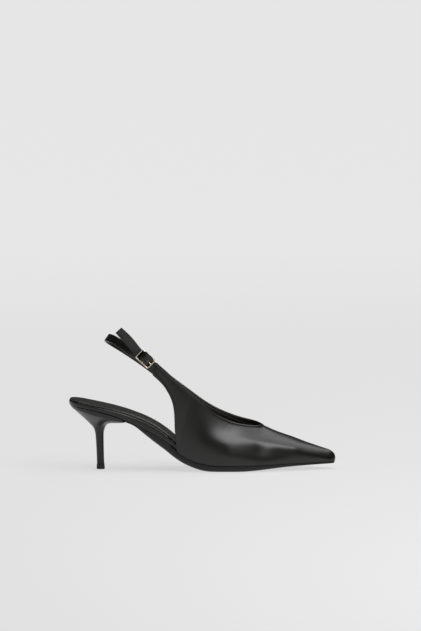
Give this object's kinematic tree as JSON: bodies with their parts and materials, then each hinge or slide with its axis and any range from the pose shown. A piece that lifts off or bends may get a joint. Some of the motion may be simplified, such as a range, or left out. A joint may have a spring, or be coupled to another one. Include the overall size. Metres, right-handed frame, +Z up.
{
  "type": "heeled slingback shoe",
  "caption": "Pointed slingback pump with a slim covered heel, a hollow leather upper, a padded insole and a strap with a small buckle that closes round the back of the foot",
  "frame": {"origin": "on the floor, under the middle of the shoe's box", "axes": "+X to the toe, +Z up, -Y to the outer side with the buckle"},
  "size_m": [0.2572, 0.0769, 0.1405],
  "materials": {
    "upper_leather": "smooth semi-gloss",
    "board_cover": "smooth semi-gloss",
    "heel_cover": "smooth semi-gloss",
    "sock": "soft satin",
    "sole": "polished edge, matt tread",
    "tip": "matt",
    "buckle": "pale gold, polished"
  },
  "bodies": {
    "root": {"outsole": "sole", "insole_board": "board_cover", "insole": "sock", "heel": "heel_cover", "heel_tip": "tip", "upper": "upper_leather", "sling_strap": "upper_leather", "buckle_frame": "buckle", "buckle_prong": "buckle"}
  },
  "joints": []
}
